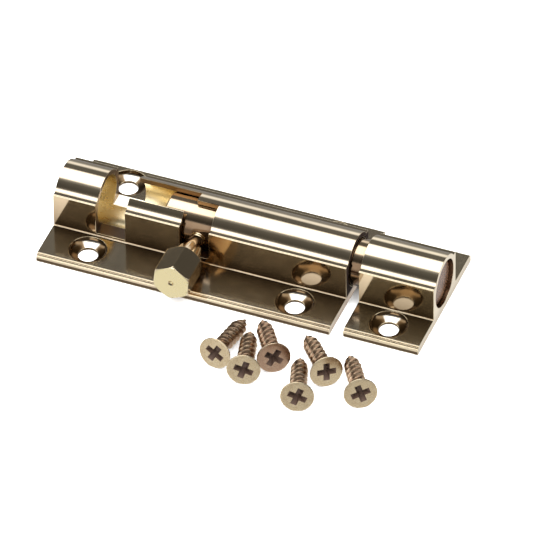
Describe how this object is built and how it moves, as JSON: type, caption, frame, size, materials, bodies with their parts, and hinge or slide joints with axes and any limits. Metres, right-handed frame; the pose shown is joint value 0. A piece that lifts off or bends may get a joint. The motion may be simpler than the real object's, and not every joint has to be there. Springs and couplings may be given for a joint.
{
  "type": "barrel bolt",
  "caption": "Straight polished brass barrel bolt: round bolt with a hexagonal knob in a flanged case, tubular keeper and loose countersunk wood screws.",
  "frame": {"origin": "middle of the barrel case's flat mounting face, the side that lies on the door", "axes": "+X along the bolt towards the keeper, +Y across the case away from the knob, +Z away from the door"},
  "size_m": [0.0647, 0.0438, 0.0101],
  "materials": {
    "case_brass": "mirror polished and clear lacquered, fine drawing lines along the bolt",
    "keeper_brass": "mirror polished and clear lacquered, fine drawing lines along the bolt",
    "rod_brass": "polished, turned",
    "knob_brass": "polished, turned and milled",
    "spring_steel": "bright drawn spring wire",
    "screw_brass": "brass plated, satin, copper tone on the shanks"
  },
  "bodies": {
    "case": {"barrel_case": "case_brass", "screw_1": "screw_brass", "screw_2": "screw_brass", "screw_3": "screw_brass", "screw_4": "screw_brass", "screw_5": "screw_brass", "screw_6": "screw_brass"},
    "ring": {"friction_ring": "spring_steel"},
    "bolt": {"bolt_rod": "rod_brass", "knob": "knob_brass"},
    "keeper": {"keeper": "keeper_brass"}
  },
  "joints": [
    {"name": "bolt_slide", "type": "slide", "parent": "case", "child": "ring", "axis": [1, 0, 0], "range_m": [-0.00115, 0.0007]},
    {"name": "knob_turn", "type": "hinge", "parent": "ring", "child": "bolt", "pos_m": [0, 0, 0.0052], "axis": [-1, 0, 0], "range_deg": [0, 66]},
    {"name": "keeper_slide", "type": "slide", "parent": "case", "child": "keeper", "axis": [1, 0, 0], "range_m": [0, 0.015]}
  ]
}
